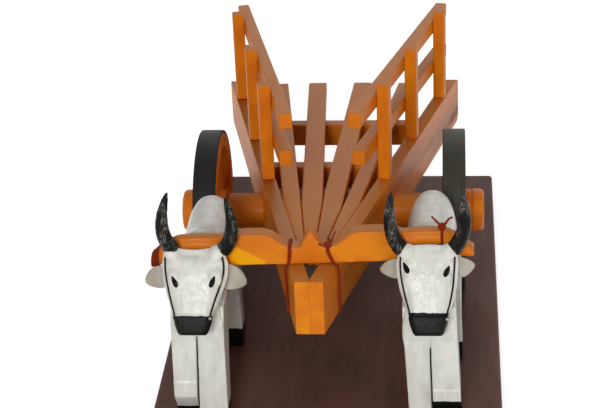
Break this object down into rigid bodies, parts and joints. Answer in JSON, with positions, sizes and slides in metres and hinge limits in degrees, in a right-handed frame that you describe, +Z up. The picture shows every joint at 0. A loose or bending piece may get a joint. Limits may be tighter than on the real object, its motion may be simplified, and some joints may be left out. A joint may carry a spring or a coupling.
{
  "type": "toy bullock cart",
  "caption": "Wooden model of a bullock cart: carved bullocks under one yoke draw a slatted two-wheeled cart whose wheels turn, on a base board",
  "frame": {"origin": "centre of the base board's underside", "axes": "+Z up, +X to the right seen from the front, -Y the way the bullocks face, so +Y runs back along the cart"},
  "size_m": [0.148, 0.3011, 0.1167],
  "materials": {
    "dark_stained_wood": "dark stained wood, satin varnish",
    "orange_lacquered_wood": "pale wood under clear orange-brown lacquer, gloss",
    "black_paint": "black brushed paint, satin",
    "black_gloss": "black enamel, gloss",
    "white_paint": "white enamel on carved wood, gloss",
    "red_brown_thread": "red-brown twisted thread",
    "black_thread": "black twisted thread"
  },
  "bodies": {
    "stand": {"base_board": "dark_stained_wood", "shaft_left": "orange_lacquered_wood", "shaft_right": "orange_lacquered_wood", "deck_slat_1": "orange_lacquered_wood", "deck_slat_2": "orange_lacquered_wood", "deck_slat_3": "orange_lacquered_wood", "deck_slat_4": "orange_lacquered_wood", "crossbar_front": "orange_lacquered_wood", "crossbar_rear": "orange_lacquered_wood", "stake_left_1": "orange_lacquered_wood", "stake_left_2": "orange_lacquered_wood", "stake_left_3": "orange_lacquered_wood", "stake_right_1": "orange_lacquered_wood", "stake_right_2": "orange_lacquered_wood", "stake_right_3": "orange_lacquered_wood", "rail_left_top": "orange_lacquered_wood", "rail_left_bottom": "orange_lacquered_wood", "rail_right_top": "orange_lacquered_wood", "rail_right_bottom": "orange_lacquered_wood", "axle": "orange_lacquered_wood", "yoke": "orange_lacquered_wood", "lashing_left": "red_brown_thread", "lashing_right": "red_brown_thread", "yoke_tie_left": "red_brown_thread", "yoke_tie_right": "red_brown_thread", "bullock_left_body": "white_paint", "bullock_left_head": "white_paint", "bullock_left_horns": "black_gloss", "bullock_left_ears": "white_paint", "bullock_left_tail": "white_paint", "bullock_left_nose_rope": "black_thread", "bullock_right_body": "white_paint", "bullock_right_head": "white_paint", "bullock_right_horns": "black_gloss", "bullock_right_ears": "white_paint", "bullock_right_tail": "white_paint", "bullock_right_nose_rope": "black_thread"},
    "wheel_left": {"wheel_left_tyre": "black_paint", "wheel_left_felloe": "orange_lacquered_wood", "wheel_left_spokes": "orange_lacquered_wood", "wheel_left_hub": "orange_lacquered_wood"},
    "wheel_right": {"wheel_right_tyre": "black_paint", "wheel_right_felloe": "orange_lacquered_wood", "wheel_right_spokes": "orange_lacquered_wood", "wheel_right_hub": "orange_lacquered_wood"}
  },
  "joints": [
    {"name": "wheel_left_spin", "type": "hinge", "parent": "stand", "child": "wheel_left", "pos_m": [-0.0578, 0.0205, 0.0498], "axis": [-1, 0, 0], "continuous": true},
    {"name": "wheel_right_spin", "type": "hinge", "parent": "stand", "child": "wheel_right", "pos_m": [0.054, 0.0205, 0.0498], "axis": [-1, 0, 0], "continuous": true}
  ]
}
